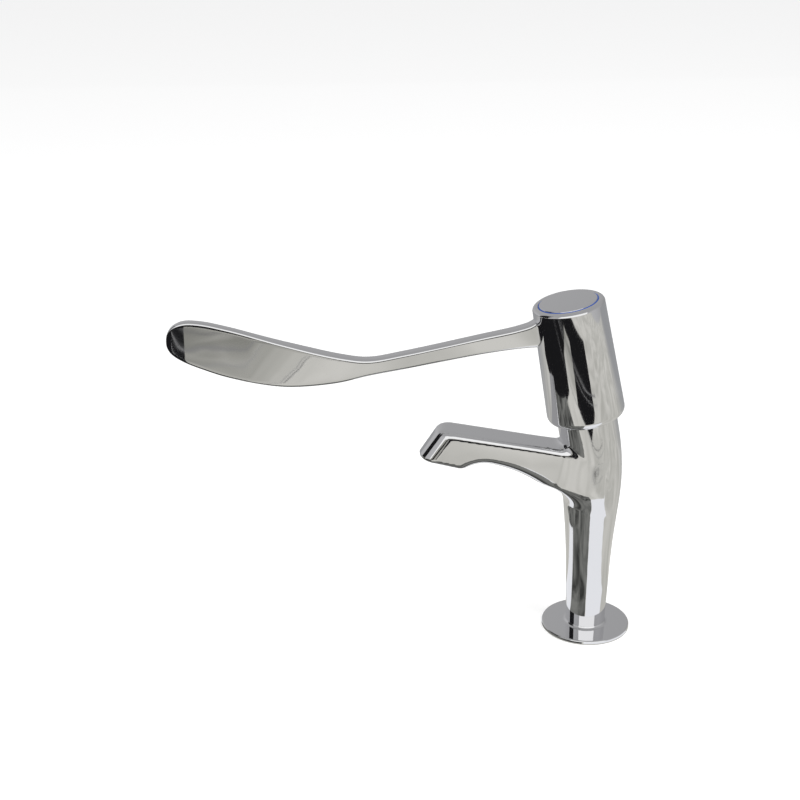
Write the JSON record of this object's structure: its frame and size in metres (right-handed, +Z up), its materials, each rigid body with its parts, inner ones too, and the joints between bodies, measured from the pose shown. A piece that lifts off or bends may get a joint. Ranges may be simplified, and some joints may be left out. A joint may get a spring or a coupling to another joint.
{
  "type": "elbow lever tap",
  "caption": "Deck-mounted elbow lever pillar tap with a tapered column, leaning head, long paddle lever and quarter-turn ceramic cartridge.",
  "frame": {"origin": "centre of the base gasket underside, on the deck", "axes": "+Z up out of the deck, spout and shut lever towards -Y, X across"},
  "size_m": [0.05, 0.256, 0.255],
  "materials": {
    "chrome_body": "polished chrome plate on brass",
    "chrome_flange": "polished chrome plate",
    "chrome_lever": "polished chrome plate on brass",
    "chrome_cap": "polished chrome plate",
    "chrome_bush": "chrome plate",
    "brass": "turned brass",
    "white_nylon": "moulded nylon",
    "black_rubber": "moulded rubber",
    "ceramic": "ground ceramic",
    "steel": "stainless steel",
    "blue_plastic": "moulded plastic"
  },
  "bodies": {
    "body": {"tap_body": "chrome_body", "base_flange": "chrome_flange", "cartridge_housing": "brass", "threaded_tail": "brass", "backnut": "brass", "outlet_bush": "chrome_bush", "deck_washer": "white_nylon", "glide_ring": "white_nylon", "thrust_washer": "white_nylon", "flow_straightener": "white_nylon", "base_gasket": "black_rubber", "tail_seal": "black_rubber", "housing_seal": "black_rubber", "seat_seal": "black_rubber", "outlet_washer": "black_rubber", "fixed_disc": "ceramic"},
    "lever": {"lever_handle": "chrome_lever", "spline_insert": "white_nylon", "spindle": "brass", "spindle_seals": "black_rubber", "spindle_clip": "steel", "moving_disc": "ceramic", "handle_screw": "steel", "screw_washer": "steel", "indice_ring": "blue_plastic", "top_cap": "chrome_cap"}
  },
  "joints": [
    {"name": "lever_turn", "type": "hinge", "parent": "body", "child": "lever", "pos_m": [0, -0.0047, 0.1305], "axis": [0, -0.1908, 0.9816], "range_deg": [0, 90]}
  ]
}
